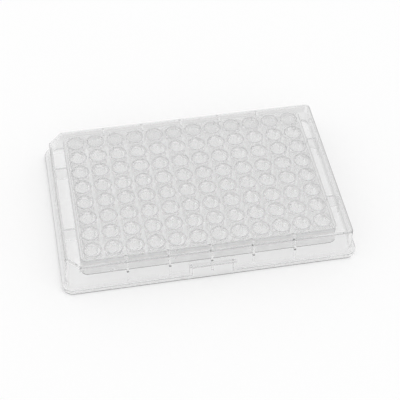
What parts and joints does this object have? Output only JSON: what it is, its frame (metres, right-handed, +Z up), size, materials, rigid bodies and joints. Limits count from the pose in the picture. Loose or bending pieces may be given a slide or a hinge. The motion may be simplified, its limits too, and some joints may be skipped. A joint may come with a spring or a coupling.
{
  "type": "well plate",
  "caption": "Clear flat-bottomed multi-well plate with a flanged skirt, an open channel round the wells and two cut corners.",
  "frame": {"origin": "on the resting surface, under the middle of the plate", "axes": "+Z up, +X along the length from column 1 to column 12, +Y across the width from row H to row A"},
  "size_m": [0.1278, 0.0854, 0.0148],
  "materials": {
    "clear_plastic": "clear, glossy"
  },
  "bodies": {
    "root": {"plate": "clear_plastic"}
  },
  "joints": []
}
